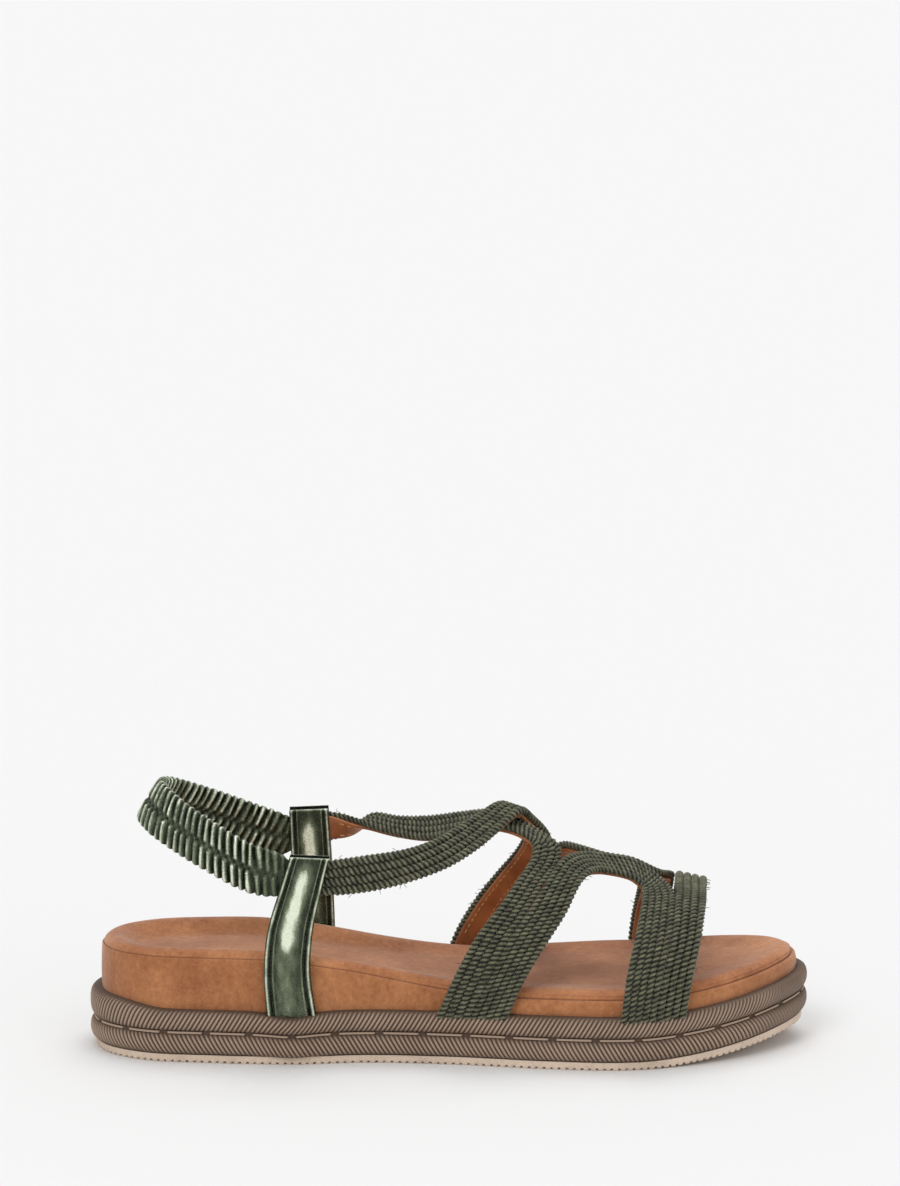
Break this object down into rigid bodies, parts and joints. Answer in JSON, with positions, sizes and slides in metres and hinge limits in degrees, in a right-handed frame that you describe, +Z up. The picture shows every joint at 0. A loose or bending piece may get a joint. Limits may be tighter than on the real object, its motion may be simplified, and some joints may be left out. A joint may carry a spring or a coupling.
{
  "type": "strappy sandal",
  "caption": "Flatform slingback sandal for the right foot, with crossed cord straps, a wedge footbed, leather ankle straps and an elastic ruched heel strap.",
  "frame": {"origin": "middle of the sole's length and width, on the ground", "axes": "+X from heel to toe along the sole, +Y towards the inner (medial) side of the foot, +Z up"},
  "size_m": [0.258, 0.093, 0.0961],
  "materials": {
    "outsole": "matt moulded rubber",
    "rim": "matt moulded rope pattern",
    "foam": "EVA foam",
    "board": "fibre board",
    "suede": "suede",
    "lining": "smooth lining leather",
    "cord": "two-ply twisted cord",
    "metallic_leather": "crinkled metallic leather",
    "elastic": "woven elastic"
  },
  "bodies": {
    "shoe": {"outsole": "outsole", "sidewall_rim": "rim", "midsole_block": "foam", "insole_board": "board", "footbed_core": "foam", "footbed_foam": "foam", "footbed_side_wrap": "suede", "footbed_sock": "suede", "instep_lateral_lining": "lining", "instep_lateral_cord_1": "cord", "instep_lateral_cord_2": "cord", "instep_lateral_cord_3": "cord", "instep_lateral_cord_4": "cord", "instep_medial_lining": "lining", "instep_medial_cord_1": "cord", "instep_medial_cord_2": "cord", "instep_medial_cord_3": "cord", "instep_medial_cord_4": "cord", "centre_lateral_lining": "lining", "centre_lateral_cord_1": "cord", "centre_lateral_cord_2": "cord", "centre_lateral_cord_3": "cord", "centre_lateral_cord_4": "cord", "centre_lateral_cord_5": "cord", "centre_medial_lining": "lining", "centre_medial_cord_1": "cord", "centre_medial_cord_2": "cord", "centre_medial_cord_3": "cord", "centre_medial_cord_4": "cord", "centre_medial_cord_5": "cord", "toe_lining": "lining", "toe_cord_1": "cord", "toe_cord_2": "cord", "toe_cord_3": "cord", "toe_cord_4": "cord", "ankle_strap_lateral_outer": "metallic_leather", "ankle_strap_lateral_inner": "metallic_leather", "ankle_strap_medial_outer": "metallic_leather", "ankle_strap_medial_inner": "metallic_leather"},
    "heel_strap": {"heel_strap_end_lateral": "metallic_leather", "heel_strap_end_medial": "metallic_leather"},
    "heel_strap_loop": {"heel_strap_elastic": "elastic", "heel_strap_cover": "metallic_leather"}
  },
  "joints": [
    {"name": "heel_strap_swing", "type": "hinge", "parent": "shoe", "child": "heel_strap", "pos_m": [-0.054, 0, 0.0676], "axis": [0, 1, 0], "range_deg": [-20, 20], "stiffness_Nm_per_rad": 0.3},
    {"name": "heel_strap_stretch", "type": "slide", "parent": "heel_strap", "child": "heel_strap_loop", "axis": [-1, 0, 0], "range_m": [0, 0.015], "stiffness_N_per_m": 500}
  ]
}
